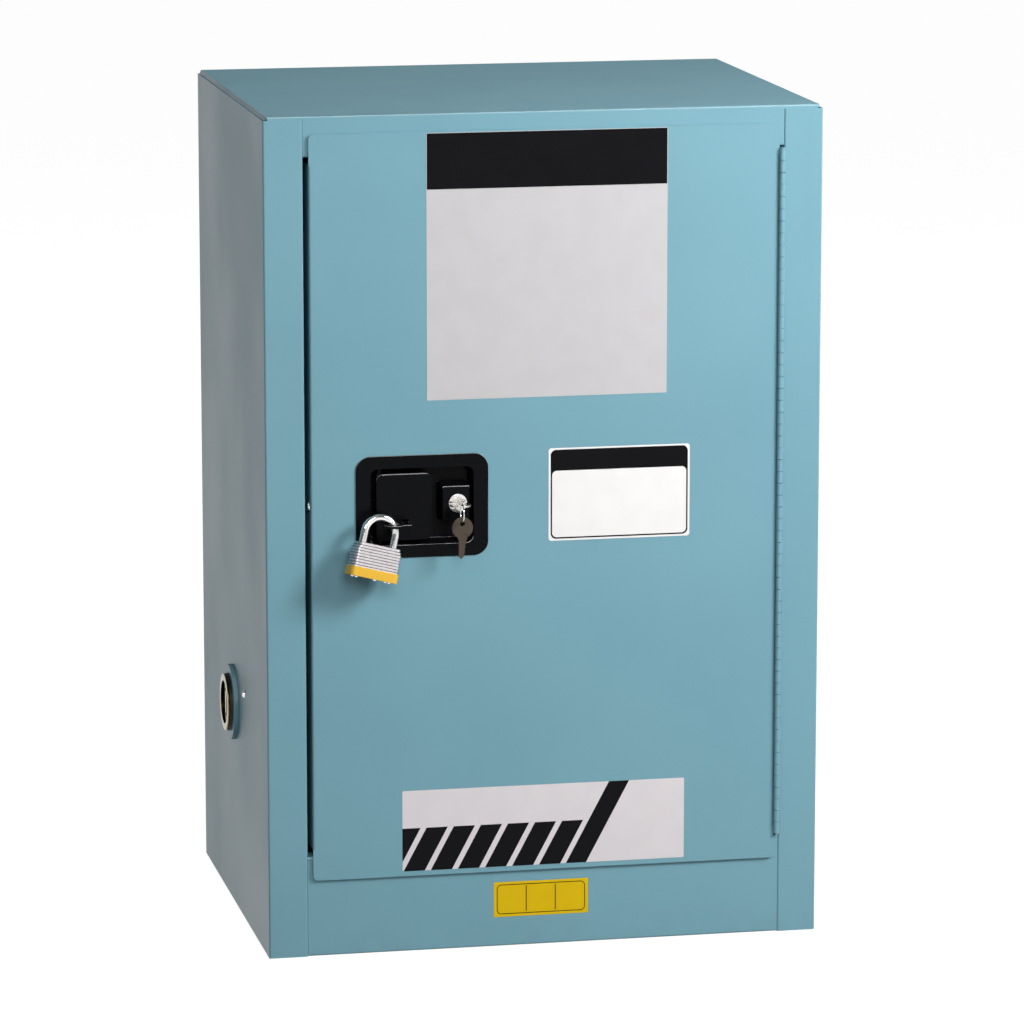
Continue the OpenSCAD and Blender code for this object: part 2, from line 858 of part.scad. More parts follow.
module latch_pan() {
    color(black) difference() {
        facing(pan_x, pan_face_y, pan_z) difference() {
            union() {
                mirror([0, 0, 1]) linear_extrude(pan_lip) round_rect(pan_w, pan_h, pan_r);
                recess_space(pan_t, recess_d + pan_t);
            }
            translate([0, 0, 0.01]) recess_space(0, recess_d + 0.01);
        }
        translate([paddle_pin_x, paddle_pin_y, pan_z])
            cylinder(d = paddle_pin_d + 2 * fit, h = recess_h + 30, center = true);
        block([paddle_pin_x - arm_w / 2 - 1, pan_floor_y - 5, bolt_z - arm_h / 2 - 1.5],
              [paddle_pin_x + arm_w / 2 + 11, pan_floor_y + 10, bolt_z + arm_h / 2 + 1.5]);
        facing(lock_x, pan_floor_y, lock_z) cylinder(d = barrel_d, h = 20, center = true);
    }
}

// Nuts and studs that hold the pan's floor against brackets inside the door
module pan_nuts() {
    spot_x = recess_w / 2 - recess_draft - 8;
    spot_z = recess_h / 2 - recess_draft - 8;
    color(zinc) for (sx = [-1, 1], sz = [-1, 1])
        facing(pan_x + sx * spot_x, pan_floor_y + pan_t, pan_z + sz * spot_z) mirror([0, 0, 1]) {
            cylinder(d = 8, h = 3, $fn = 6);
            cylinder(d = 4, h = 4.5);
        }
}

module paddle_pin() {
    half = recess_h / 2 + pan_t + 1;
    color(bright) translate([paddle_pin_x, paddle_pin_y, pan_z]) {
        cylinder(d = paddle_pin_d, h = 2 * half, center = true);
        translate([0, 0, half]) cylinder(d = paddle_pin_d + 2.5, h = 1.2);
    }
}

// Face plate with turned-back edges, two ears on the pin and the arm that works the bolt
module paddle() {
    z0 = pan_z - paddle_h / 2;
    z1 = pan_z + paddle_h / 2;
    x1 = paddle_x0 + paddle_w;
    back = paddle_face_y + 9;
    color(black) difference() {
        union() {
            facing((paddle_x0 + x1) / 2, paddle_face_y + paddle_t, pan_z)
                linear_extrude(paddle_t) round_rect(paddle_w, paddle_h, paddle_r);
            block([x1 - paddle_t, paddle_face_y + 1, z0 + paddle_r], [x1, back, z1 - paddle_r]);
            for (z = [z0, z1 - ear_h]) translate([0, 0, z]) {
                translate([paddle_pin_x, paddle_pin_y, 0]) cylinder(r = ear_r, h = ear_h);
                block([paddle_pin_x - 3.5, paddle_face_y + 2.5, 0], [paddle_pin_x + 3.5, paddle_pin_y, ear_h]);
            }
            translate([0, 0, bolt_z - arm_h / 2]) {
                translate([paddle_pin_x, paddle_pin_y, 0]) cylinder(r = ear_r, h = arm_h);
                block([paddle_pin_x - arm_w / 2, paddle_face_y + 2.5, 0], [paddle_pin_x + arm_w / 2, arm_y, arm_h]);
                translate([paddle_pin_x, arm_y, 0]) cylinder(d = arm_w, h = arm_h);
            }
        }
        translate([paddle_pin_x, paddle_pin_y, pan_z])
            cylinder(d = paddle_pin_d + 2 * fit, h = paddle_h + 20, center = true);
        facing(neck_x, paddle_face_y, eye_z) cube([slot_w, slot_h, 30], center = true);
    }
}

// Flat eye that comes out of the paddle's slot and takes the padlock
module padlock_eye() {
    neck_w = slot_w - 2;
    rim = eye_hole_d / 2 + eye_rim;
    color(black) translate([0, 0, eye_z - eye_t / 2]) difference() {
        union() {
            translate([eye_x, eye_y, 0]) cylinder(r = rim, h = eye_t);
            block([neck_x - neck_w / 2, eye_y - rim / 2, 0], [neck_x + neck_w / 2, paddle_face_y + paddle_t, eye_t]);
            block([eye_x, eye_y - rim / 2, 0], [neck_x, eye_y + rim / 2, eye_t]);
            block([neck_x - neck_w / 2 - 5, paddle_face_y + paddle_t, 0],
                  [neck_x + neck_w / 2 + 5, paddle_face_y + paddle_t + 2, eye_t]);
        }
        translate([eye_x, eye_y, -1]) cylinder(d = eye_hole_d, h = eye_t + 2);
    }
}

// Flanged sleeve inside the door's edge
module bolt_guide() {
    flange_x = -door_x + sheet;
    color(zinc) difference() {
        union() {
            block([flange_x, skin_rear_y + 1.5, bolt_z - 18], [flange_x + 3, door_rear_y - 13, bolt_z + 18]);
            translate([flange_x, bolt_y, bolt_z]) rotate([0, 90, 0]) cylinder(d = bolt_d + 7, h = guide_len);
        }
        translate([flange_x - 1, bolt_y, bolt_z]) rotate([0, 90, 0]) cylinder(d = bolt_d + 2 * fit, h = guide_len + 2);
    }
}

// Round-nosed bolt with a flat bar that runs behind the pan to the paddle's arm
module latch_bolt() {
    nose = bolt_d / 2;
    rod = bolt_tail_x - bolt_tip_x;
    color(bright) difference() {
        union() {
            translate([bolt_tip_x, bolt_y, bolt_z]) rotate([0, 90, 0]) {
                translate([0, 0, nose]) sphere(r = nose);
                translate([0, 0, nose]) cylinder(d = bolt_d, h = rod - nose);
            }
            block([bolt_tail_x - 12, bolt_y - 3, bolt_z - bar_h / 2],
                  [bolt_tail_x, bar_y + bar_t, bolt_z + bar_h / 2]);
            block([bolt_tail_x - 12, bar_y, bolt_z - bar_h / 2], [bar_x1, bar_y + bar_t, bolt_z + bar_h / 2]);
        }
        translate([paddle_pin_x, arm_y, bolt_z]) cube([arm_w + 0.8, 20, arm_h + 1], center = true);
    }
}

module strike_plate() {
    x = -open_x - sheet;
    color(bright) difference() {
        block([x - 2, bolt_y - strike_w / 2, bolt_z - strike_half], [x, bolt_y + strike_w / 2, bolt_z + strike_half]);
        translate([x, bolt_y, bolt_z]) rotate([0, 90, 0]) cylinder(d = bolt_d + 1, h = 10, center = true);
    }
}

// ---------- lock, keys and ring ----------

// The boss leans away from the near wall of the recess, which leaves its right flank upright
module lock_housing() {
    base_w = boss_w + boss_draft;
    base_h = boss_h + 2 * boss_draft;
    color(black) difference() {
        facing(lock_x - boss_aside - boss_draft / 2, pan_floor_y, lock_z)
            taper(base_w, base_h, boss_w, boss_h, 6, recess_d, boss_draft / 2);
        facing(lock_x, pan_floor_y, lock_z) cylinder(d = barrel_d, h = through, center = true);
    }
}

module lock_barrel() {
    color(bright) facing(lock_x, lock_face_y, lock_z) mirror([0, 0, 1]) difference() {
        union() {
            cylinder(d = barrel_d, h = barrel_rear_y - lock_face_y);
            translate([0, 0, pan_floor_y + pan_t - lock_face_y]) cylinder(d = barrel_d + 7, h = 4, $fn = 6);
        }
        translate([0, 0, -1]) cylinder(d = plug_d + 2 * fit, h = through);
    }
}

// A flat key: bow at the origin, blade running down
module key() {
    half = blade_w / 2;
    difference() {
        union() {
            cylinder(d = bow_d, h = key_t, center = true);
            linear_extrude(key_t, center = true) polygon([
                [-half - 1, 0], [half + 1, 0], [half + 1, -bow_d / 2 - 0.5], [half, -bow_d / 2 - 1.5],
                [half, -key_len * 0.5], [half - 1.6, -key_len * 0.56], [half - 0.6, -key_len * 0.62],
                [half - 2, -key_len * 0.68], [half - 1.2, -key_len * 0.76], [half - 2.4, -key_len * 0.84],
                [half - 2.4, -key_len * 0.92], [-half + 2.6, -key_len], [-half, -key_len * 0.93],
                [-half, -bow_d / 2 - 1.5], [-half - 1, -bow_d / 2 - 0.5]
            ]);
        }
        translate([0, hole_up, 0]) cylinder(d = key_hole_d, h = 2 * key_t, center = true);
    }
}

module lock_plug() {
    play = 0.1;
    tail = 6;
    color(bright) difference() {
        facing(lock_x, lock_face_y, lock_z) mirror([0, 0, 1]) {
            cylinder(d = plug_d, h = barrel_rear_y - lock_face_y);
            cylinder(d = tail, h = barrel_rear_y + cam_t + 1 - lock_face_y);
        }
        translate([lock_x, bow_y, lock_z])
            block([-blade_w / 2 - play, -1, -key_t / 2 - play], [blade_w / 2 + play, key_len + 1, key_t / 2 + play]);
    }
}

module lock_cam() {
    color(zinc) facing(lock_x, barrel_rear_y, lock_z) mirror([0, 0, 1]) difference() {
        union() {
            cylinder(d = 18, h = cam_t);
            translate([-7, 0, 0]) cube([14, cam_len - 7, cam_t]);
            translate([0, cam_len - 7, 0]) cylinder(d = 14, h = cam_t);
        }
        translate([0, 0, -1]) cylinder(d = 6, h = cam_t + 2);
    }
}

module lock_key() {
    color(bright) translate([lock_x, bow_y, lock_z]) rotate([180, 0, 0]) key();
}

module key_ring() {
    color(bright) translate([lock_x, ring_y, ring_z]) rotate([0, 90, 0])
        rotate_extrude() translate([ring_r, 0]) circle(d = ring_wire, $fn = 24);
}

module spare_key() {
    color(bright) facing(lock_x, ring_y, spare_z - hole_up) key();
}

// ---------- padlock ----------

module padlock_place() {
    translate([eye_x, eye_y, eye_z])
        rotate([0, 0, lock_yaw]) rotate([lock_lean, 0, 0]) rotate([0, lock_tilt, 0]) children();
}

module padlock_shackle() {
    color(bright) padlock_place() translate([bend_x, 0, -bend_drop]) {
        rotate([90, 0, 0]) rotate_extrude(angle = 180) translate([bend_radius, 0]) circle(d = shackle_d);
        translate([bend_radius, 0, -shackle_rise - heel_in]) cylinder(d = shackle_d, h = shackle_rise + heel_in);
        translate([-bend_radius, 0, -shackle_rise - toe_in]) cylinder(d = shackle_d, h = shackle_rise + toe_in);
    }
}

// A stack of riveted plates: the top ones step in, the lowest stand inside the bumper
module padlock_plates() {
    color(zinc) padlock_place() translate([bend_x, 0, case_top]) difference() {
        union() {
            translate([0, 0, -case_h]) linear_extrude(case_h - 0.5)
                round_rect(case_w - 2 * plate_groove - 4, case_t - 2 * plate_groove, 4);
            for (i = [0 : case_plates - 1]) {
                step = max(0, i - (case_plates - 3)) * plate_step;
                translate([0, 0, -case_h + i * plate_pitch]) linear_extrude(plate_pitch - 0.35)
                    round_rect(case_w - 2 * step, case_t, 4.5);
            }
        }
        for (side = [-1, 1]) translate([side * bend_radius, 0, side > 0 ? -heel_in - 2 : -toe_in - 1])
            cylinder(d = shackle_d + 2 * fit, h = 60);
        translate([0, 0, -case_h - 1]) cylinder(d = 9, h = 3);
    }
}

module padlock_rivets() {
    spread_x = case_w / 2 - 7;
    spread_y = case_t / 2 - 5;
    color(bright) padlock_place() translate([bend_x, 0, case_top - case_h])
        for (at = [[-1, -1], [1, -1], [-1, 1], [1, 1], [0.35, 1]])
            translate([at[0] * spread_x, at[1] * spread_y, 0]) intersection() {
                translate([0, 0, -1.6]) cylinder(d = rivet_d + 1.5, h = 1.6);
                translate([0, 0, 1.2]) sphere(r = 2.9);
            }
}

module padlock_bumper() {
    wall = 1.2;
    color("#e6b52c") padlock_place() translate([bend_x, 0, case_top - case_h]) linear_extrude(bumper_h) difference() {
        round_rect(case_w + 2 * wall, case_t + 2 * wall, 4.5 + wall);
        round_rect(case_w, case_t, 4.5);
    }
}

side_panel_left();
side_panel_right();
top_panel();
front_header();
front_sill();
back_panel();
bottom_pan();
inner_side_left();
inner_side_right();
inner_back();
inner_top();
spill_basin();
shelf_clips();
shelf();
shelf_tray();
sump_tray();
vent_collar_left();
vent_collar_right();
vent_tube_left();
vent_tube_right();
flame_screen_left();
flame_screen_right();
vent_bung_left();
vent_bung_right();
ground_screw();
strike_plate();
foot_nuts();
foot_front_left();
foot_front_right();
foot_back_left();
foot_back_right();
hinge_frame_leaf();
hinge_pin();
hinge_door_leaf();
door_skin();
door_back();
door_stiffener();
latch_pan();
pan_nuts();
paddle_pin();
paddle();
padlock_eye();
bolt_guide();
latch_bolt();
lock_housing();
lock_barrel();
lock_plug();
lock_cam();
lock_key();
key_ring();
spare_key();
padlock_shackle();
padlock_plates();
padlock_rivets();
padlock_bumper();
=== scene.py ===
"""A compact single-door chemical safety cabinet: finishes, labels and eased edges over its frame."""

import json
import math

import bmesh
import bpy
from mathutils import Matrix, Vector


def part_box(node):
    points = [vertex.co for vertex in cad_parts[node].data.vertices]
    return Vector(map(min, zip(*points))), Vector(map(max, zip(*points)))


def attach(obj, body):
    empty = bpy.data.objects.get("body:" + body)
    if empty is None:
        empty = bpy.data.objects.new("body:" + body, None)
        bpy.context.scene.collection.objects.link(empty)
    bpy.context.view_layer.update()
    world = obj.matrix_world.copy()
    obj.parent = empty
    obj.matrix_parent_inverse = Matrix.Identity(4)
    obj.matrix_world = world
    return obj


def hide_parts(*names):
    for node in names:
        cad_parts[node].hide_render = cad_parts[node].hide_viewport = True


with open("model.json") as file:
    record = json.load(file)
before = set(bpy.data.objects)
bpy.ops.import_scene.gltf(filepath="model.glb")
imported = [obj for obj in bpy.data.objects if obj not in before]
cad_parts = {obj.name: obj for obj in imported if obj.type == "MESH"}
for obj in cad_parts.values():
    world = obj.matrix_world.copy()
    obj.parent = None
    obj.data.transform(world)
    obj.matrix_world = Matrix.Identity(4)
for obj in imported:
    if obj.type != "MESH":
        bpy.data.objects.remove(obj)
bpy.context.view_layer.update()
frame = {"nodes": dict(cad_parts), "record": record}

NODES = frame["nodes"]
BODIES = frame["record"]["behaviour"]["bodies"]
BODY_OF = {node: body for body, nodes in BODIES.items() for node in nodes}


def mm(*lengths):
    """Millimetres of the drawing as Blender's metres."""
    return Vector([length / 1000 for length in lengths])


# ---------- camera and lamps ----------

# The camera as solved from the photo: focal length in pixels, sensor and place in mm, angles in degrees
IMAGE_SIZE = 1024
FOCAL_PIXELS = 5403.1
SENSOR = 36.0
CAMERA_PLACE = (-1146.8, -5655.1, 1534.5)
CAMERA_AZIMUTH = 11.574
CAMERA_ELEVATION = 10.887
# How far the camera sees, and the cabinet's middle, which the lamps look at, both in metres
CAMERA_REACH = 60
MIDDLE = (0, 0, 0.45)


def look(azimuth, elevation):
    """How a camera or lamp is turned that looks along an azimuth, from +Y towards +X, and down."""
    a, e = math.radians(azimuth), math.radians(elevation)
    ahead = Vector((math.sin(a) * math.cos(e), math.cos(a) * math.cos(e), -math.sin(e)))
    right = Vector((math.cos(a), -math.sin(a), 0))
    return Matrix((right, right.cross(ahead), -ahead)).transposed().to_4x4()


def place_camera():
    """The photo's view of the cabinet."""
    lens = bpy.data.cameras.new("camera")
    lens.sensor_width = SENSOR
    lens.lens = FOCAL_PIXELS / IMAGE_SIZE * SENSOR
    lens.clip_end = CAMERA_REACH
    camera = bpy.data.objects.new("camera", lens)
    bpy.context.collection.objects.link(camera)
    turn = look(CAMERA_AZIMUTH, CAMERA_ELEVATION)
    camera.matrix_world = Matrix.Translation(mm(*CAMERA_PLACE)) @ turn
    bpy.context.scene.camera = camera


def soft_lamp(name, azimuth, elevation, distance, size, power):
    """A square white lamp that stands off the cabinet's middle and looks at it."""
    lamp = bpy.data.lights.new(name, "AREA")
    lamp.size = size
    lamp.energy = power
    holder = bpy.data.objects.new(name, lamp)
    bpy.context.collection.objects.link(holder)
    turn = look(azimuth, elevation)
    place = Vector(MIDDLE) + turn.col[2].to_3d() * distance
    holder.matrix_world = Matrix.Translation(place) @ turn


place_camera()
soft_lamp("near lamp, to the right", -42, 30, 2.15, 0.6, 43)
soft_lamp("front lamp", 3.5, 26, 4.0, 1.6, 57)
soft_lamp("top lamp", 10, 76, 3.5, 1.6, 2)
soft_lamp("far lamp, to the left", 39, 28, 4.0, 0.9, 12)
soft_lamp("back lamp", 196, 46, 4.5, 2.4, 34)
bpy.context.scene.view_settings.view_transform = "Standard"


# ---------- finishes ----------


class Value:
    """A number socket that takes part in Python expressions."""

    def __init__(self, finish, socket):
        self.finish = finish
        self.socket = socket

    def _joined(self, operation, *others):
        return self.finish.add("Math", {"operation": operation}, dict(enumerate(others)))

    def __add__(self, other):
        return self._joined("ADD", self, other)

    def __sub__(self, other):
        return self._joined("SUBTRACT", self, other)

    def __rsub__(self, other):
        return self._joined("SUBTRACT", other, self)

    def __mul__(self, other):
        return self._joined("MULTIPLY", self, other)

    def __gt__(self, other):
        return self._joined("GREATER_THAN", self, other)

    def __lt__(self, other):
        return self._joined("LESS_THAN", self, other)

    def __mod__(self, other):
        return self._joined("FLOORED_MODULO", self, other)

    def __abs__(self):
        return self._joined("ABSOLUTE", self)

    __radd__ = __add__
    __rmul__ = __mul__

    def between(self, low, high):
        """1 between two limits, 0 elsewhere."""
        return (self > low) * (self < high)

    def at_least(self, limit):
        """The number, or the limit where that is greater."""
        return self._joined("MAXIMUM", self, limit)

    def fade(self, low, high, to_low=0.0, to_high=1.0):
        """A smooth step from to_low at low to to_high at high."""
        sockets = {0: self, 1: low, 2: high, 3: to_low, 4: to_high}
        return self.finish.add("MapRange", {"interpolation_type": "SMOOTHSTEP"}, sockets)


class Finish:
    """One material and the nodes that make it."""

    def __init__(self, name, **surface):
        self.material = bpy.data.materials.new(name)
        self.material.use_nodes = True
        self.tree = self.material.node_tree
        self.tree.nodes.clear()
        output = self.tree.nodes.new("ShaderNodeOutputMaterial")
        self.surface = self.tree.nodes.new("ShaderNodeBsdfPrincipled")
        self.tree.links.new(self.surface.outputs[0], output.inputs[0])
        self.set(**surface)
        self.place = self.add("TexCoord", {}, {}, "Object")

    def set(self, **surface):
        """Sockets of the surface by name, with _ for a space."""
        for name, value in surface.items():
            self._feed(self.surface.inputs[name.replace("_", " ")], value)

    def _feed(self, socket, value):
        """Links a Value to a socket, or sets the socket to a colour or number."""
        if isinstance(value, Value):
            self.tree.links.new(value.socket, socket)
        elif isinstance(value, tuple) and socket.type == "RGBA":
            socket.default_value = (*value, 1)
        else:
            socket.default_value = value

    def add(self, kind, settings, sockets, output=0):
        """A node of a kind: its settings first, then the values or links of its sockets."""
        node = self.tree.nodes.new("ShaderNode" + kind)
        for name, value in settings.items():
            setattr(node, name, value)
        for name, value in sockets.items():
            self._feed(node.inputs[name], value)
        return Value(self, node.outputs[output])

    def noise(self, scale, detail=2.0, roughness=0.5, place=None):
        """Cloudy noise, from 0 to 1, with a scale in waves per metre."""
        sockets = {"Vector": place or self.place, "Scale": scale}
        sockets |= {"Detail": detail, "Roughness": roughness}
        return self.add("TexNoise", {}, sockets)

    def stretched(self, x, y, z):
        """The place, with each axis multiplied, for streaks and brush marks."""
        return self.add("VectorMath", {"operation": "MULTIPLY"}, {0: self.place, 1: (x, y, z)})

    def axes(self):
        """The three coordinates of the place, in metres."""
        node = self.tree.nodes.new("ShaderNodeSeparateXYZ")
        self.tree.links.new(self.place.socket, node.inputs[0])
        return [Value(self, output) for output in node.outputs]

    def blend(self, amount, first, second):
        """From the first colour to the second by an amount."""
        return self.add("Mix", {"data_type": "RGBA"}, {0: amount, 6: first, 7: second}, 2)

    def dot(self, first, second):
        """How far the first vector runs along the second."""
        return self.add("VectorMath", {"operation": "DOT_PRODUCT"}, {0: first, 1: second}, 1)

    def bump(self, height, depth, strength, under=None):
        """A normal that follows a height of 0 to 1, over a depth in metres."""
        sockets = {"Strength": strength, "Distance": depth, "Height": height}
        if under:
            sockets["Normal"] = under
        return self.add("Bump", {}, sockets)

    def facing(self):
        """How far the surface looks up: 1 on a top, 0 on a side."""
        node = self.tree.nodes.new("ShaderNodeNewGeometry")
        return self.dot(Value(self, node.outputs["Normal"]), (0, 0, 1))


def enamel():
    """Pale blue baked enamel on sheet steel: fine ripple, slight waves, painted highlights on folds, a
    little dust.
    """
    f = Finish("enamel", IOR=1.45, Specular_IOR_Level=0.31)
    cloud = f.noise(5.0, 3.0)
    speck = f.noise(260.0, 3.0, 0.6)
    _, _, height = f.axes()
    up = f.facing()
    fold = up.fade(0.12, 0.35) * (1 - up.fade(0.7, 0.9))
    lying = up.fade(0.6, 1.0)
    dust = lying * f.noise(9.0, 5.0).fade(0.35, 0.75)
    grime = height.fade(0.05, 0.0) * f.noise(30.0, 4.0).fade(0.4, 0.8) * 0.2
    colour = f.blend(cloud.fade(0.3, 0.7), (0.156, 0.322, 0.388), (0.168, 0.340, 0.406))
    colour = f.blend(speck.fade(0.55, 0.8) * 0.12, colour, (0.21, 0.38, 0.44))
    colour = f.blend(dust * 0.04, colour, (0.24, 0.35, 0.40))
    # Painted highlight: folds that face partly up are lightened, where a lamp above would shine in them
    colour = f.blend(fold * 0.7, colour, (0.34, 0.49, 0.55))
    colour = f.blend(grime, colour, (0.13, 0.22, 0.25))
    ripple = f.bump(f.noise(420.0, 2.0), 0.00012, 0.5)
    wave = f.bump(f.noise(5.0, 1.0), 0.0006, 0.6, ripple)
    dull = cloud.fade(0.2, 0.8, 0.34, 0.42) + lying * 0.34 + dust * 0.1
    f.set(Base_Color=colour, Roughness=dull, Normal=wave)
    return f.material


# Where painted highlights lie on the handle's coat, in metres: the paddle's upper edge, the rims that
# stand furthest forward, and the rims round the foot of the lock's boss
PADDLE_WIDTH = (-0.1765, -0.1235)
PADDLE_TOP = (0.5140, 0.5155)
PADDLE_FACE = -0.2329
RIM_FACE = -0.2313
BOSS_FOOT = (-0.2145, -0.212)


def black_coat():
    """Satin black powder coat with a fine pebble, and highlights painted along the handle's upper
    edges.
    """
    f = Finish("black coat", IOR=1.5, Specular_IOR_Level=0.07)
    coat_mottle = f.noise(60.0, 4.0)
    x, y, z = f.axes()
    up = f.facing()
    paddle_highlight = x.between(*PADDLE_WIDTH) * (y < PADDLE_FACE) * z.between(*PADDLE_TOP)
    rim = (y < RIM_FACE) + y.between(*BOSS_FOOT) * 0.5
    # Painted highlights: the coat turns light grey on edges that face partly up, on the forward rims
    # and round the boss's foot, and along the paddle's upper edge
    edge = up.fade(0.05, 0.2) * (1 - up.fade(0.85, 0.97)) * rim * coat_mottle.fade(0.1, 0.5, 0.6, 1.0)
    colour = f.blend(coat_mottle.fade(0.55, 0.8) * 0.5, (0.0018, 0.0021, 0.0028), (0.0045, 0.0048, 0.0056))
    colour = f.blend(edge + paddle_highlight * 0.8, colour, (0.38, 0.365, 0.39))
    pebble = f.bump(f.noise(900.0, 2.0), 0.00005, 0.5)
    f.set(Base_Color=colour, Roughness=coat_mottle.fade(0.3, 0.7, 0.24, 0.34), Normal=pebble)
    return f.material


def plated(name, colour, dark, low, high, scratch=0.25):
    """Bright plating with fine scratches and duller patches."""
    f = Finish(name, Metallic=1.0)
    patch = f.noise(90.0, 4.0)
    fine = f.noise(700.0, 3.0, 0.6, f.stretched(1.0, 1.0, 0.12))
    f.set(
        Base_Color=f.blend(patch.fade(0.45, 0.75) * scratch, colour, dark),
        Roughness=patch.fade(0.3, 0.7, low, high) + fine.fade(0.5, 0.8) * 0.08,
        Normal=f.bump(fine, 0.00003, 0.35),
    )
    return f.material


def brushed():
    """The screens' stainless steel, with rolling marks that run across."""
    f = Finish("stainless screen", Metallic=1.0)
    marks = f.noise(120.0, 4.0, 0.6, f.stretched(1.0, 1.0, 30.0))
    patch = f.noise(25.0, 3.0)
    f.set(
        Base_Color=f.blend(marks.fade(0.35, 0.75), (0.6, 0.6, 0.6), (0.45, 0.45, 0.45)),
        Roughness=patch.fade(0.3, 0.7, 0.3, 0.4),
        Normal=f.bump(marks, 0.00005, 0.4),
    )
    return f.material


# The padlock at rest: where it hangs, in metres, and the way that its stack of plates runs
LOCK_PLACE = (-0.1645, -0.249, 0.4631)
LOCK_UP = (0.24335, 0.16075, 0.95653)
# The stack's foot below that place, and each plate's pitch and thickness, in mm
STACK_FOOT = -58.5
PLATE_PITCH = 3.0
PLATE = 2.25


def laminated():
    """Steel plates in a stack, pale on their rims and dark in the joints between them."""
    f = Finish("laminated steel", Metallic=1.0)
    offset = f.add("VectorMath", {"operation": "SUBTRACT"}, {0: f.place, 1: LOCK_PLACE})
    along = f.dot(offset, LOCK_UP) * 1000
    in_plate = (along - STACK_FOOT) % PLATE_PITCH
    joint = (in_plate > PLATE) * f.noise(300.0, 3.0).fade(0.2, 0.6, 0.6, 1.0)
    wear = f.noise(160.0, 4.0, 0.6)
    steel = f.blend(wear.fade(0.35, 0.75), (0.82, 0.775, 0.79), (0.55, 0.515, 0.53))
    f.set(
        Base_Color=f.blend(joint, steel, (0.085, 0.075, 0.085)),
        Roughness=wear.fade(0.3, 0.7, 0.28, 0.40),
        Normal=f.bump(wear, 0.00004, 0.4),
    )
    return f.material


def galvanised():
    """Zinc-coated sheet with its crystal spangle."""
    f = Finish("galvanised sheet", Metallic=0.9)
    spangle = f.add("TexVoronoi", {"feature": "F1"}, {"Vector": f.place, "Scale": 110.0}, "Color")
    shade = f.add("RGBToBW", {}, {0: spangle})
    colour = f.blend(shade, (0.50, 0.52, 0.54), (0.66, 0.68, 0.70))
    f.set(Base_Color=colour, Roughness=shade.fade(0.0, 1.0, 0.34, 0.5))
    return f.material


def moulded(name, colour, shade, low=0.38, high=0.5, grain=600.0):
    """Moulded plastic with a fine grain and faint scuffs."""
    f = Finish(name, IOR=1.48)
    scuff = f.noise(55.0, 5.0, 0.6)
    f.set(
        Base_Color=f.blend(scuff.fade(0.5, 0.8) * 0.5, colour, shade),
        Roughness=scuff.fade(0.3, 0.7, low, high),
        Normal=f.bump(f.noise(grain, 2.0), 0.00005, 0.4),
    )
    return f.material


def label_ink(name, ground, ink, print_of):
    """Printed vinyl: ink where print_of(x, z), in millimetres, is 1, over a slightly uneven ground."""
    f = Finish(name, IOR=1.46, Specular_IOR_Level=0.08)
    x, _, z = [along * 1000 for along in f.axes()]
    cloud = f.noise(40.0, 3.0)
    base = f.blend(cloud.fade(0.3, 0.7) * 0.5, ground, tuple(0.93 * c for c in ground))
    f.set(
        Base_Color=f.blend(print_of(x, z), base, ink),
        Roughness=cloud.fade(0.3, 0.7, 0.32, 0.4),
        Normal=f.bump(f.noise(30.0, 2.0), 0.0004, 0.3),
    )
    return f.material


INK = (0.0036, 0.0037, 0.0045)
FINISHES = {
    "paint": enamel(),
    "black": black_coat(),
    "vent_black": moulded("black vent paint", (0.006, 0.006, 0.006), (0.015, 0.014, 0.013)),
    "zinc": plated("zinc plating", (0.60, 0.62, 0.65), (0.42, 0.43, 0.45), 0.28, 0.42),
    "shelf_steel": galvanised(),
    "bright": plated("bright plating", (0.80, 0.79, 0.78), (0.55, 0.54, 0.52), 0.10, 0.2),
    "screen": brushed(),
    "brass": plated("gold passivate", (0.17, 0.125, 0.025), (0.08, 0.055, 0.012), 0.10, 0.2, 0.4),
    "lock_steel": laminated(),
    "bumper": moulded("yellow plastic", (0.72, 0.42, 0.030), (0.62, 0.34, 0.024), 0.32, 0.42),
    "tray": moulded("white polyethylene", (0.72, 0.73, 0.70), (0.62, 0.63, 0.60), 0.42, 0.55, 200.0),
}
KEY_FINISHES = {
    "lock_key": plated("nickel key", (0.60, 0.57, 0.52), (0.40, 0.36, 0.31), 0.18, 0.30, 0.7),
    # The spare key's near-black colour is a painted reflection: it stands in for the dark surroundings
    # that its plating reflects
    "spare_key": plated("key with painted dark reflection", (0.085, 0.070, 0.055), (0.05, 0.041, 0.033), 0.28, 0.40, 0.8),
}

# The paddle's pin is painted over with the handle
SLOT_OF = {part["node"]: part["material_slot"] for part in frame["record"]["subparts"]}
SLOT_OF["paddle_pin"] = "black"


def paint_piece(piece, material):
    """Gives a piece one finish in place of those it has."""
    piece.data.materials.clear()
    piece.data.materials.append(material)


for node, piece in NODES.items():
    paint_piece(piece, FINISHES[SLOT_OF[node]])
for node, finish in KEY_FINISHES.items():
    paint_piece(NODES[node], finish)


# ---------- pieces shaped here ----------

# Angles in degrees: edges shaded sharp, edges that are eased, and faces flat enough to join
SMOOTH_ANGLE = 32
EASE_ANGLE = 40
FLAT_ANGLE = 0.6
EASE_SEGMENTS = 2
# Points of a CAD mesh this close, in metres, are one
MERGE_DISTANCE = 2e-6


def only(piece):
    """Selects one object and nothing else."""
    if bpy.context.object and bpy.context.object.mode != "OBJECT":
        bpy.ops.object.mode_set(mode="OBJECT")
    bpy.ops.object.select_all(action="DESELECT")
    piece.select_set(True)
    bpy.context.view_layer.objects.active = piece


def finish_shape(piece):
    """Bakes the place into the mesh and leaves the object at the origin."""
    only(piece)
    bpy.ops.object.transform_apply(location=True, rotation=True, scale=True)


def use_modifier(piece, kind, **settings):
    """Adds a modifier and applies it."""
    only(piece)
    modifier = piece.modifiers.new(kind, kind)
    for name, value in settings.items():
        setattr(modifier, name, value)
    bpy.ops.object.modifier_apply(modifier=modifier.name)


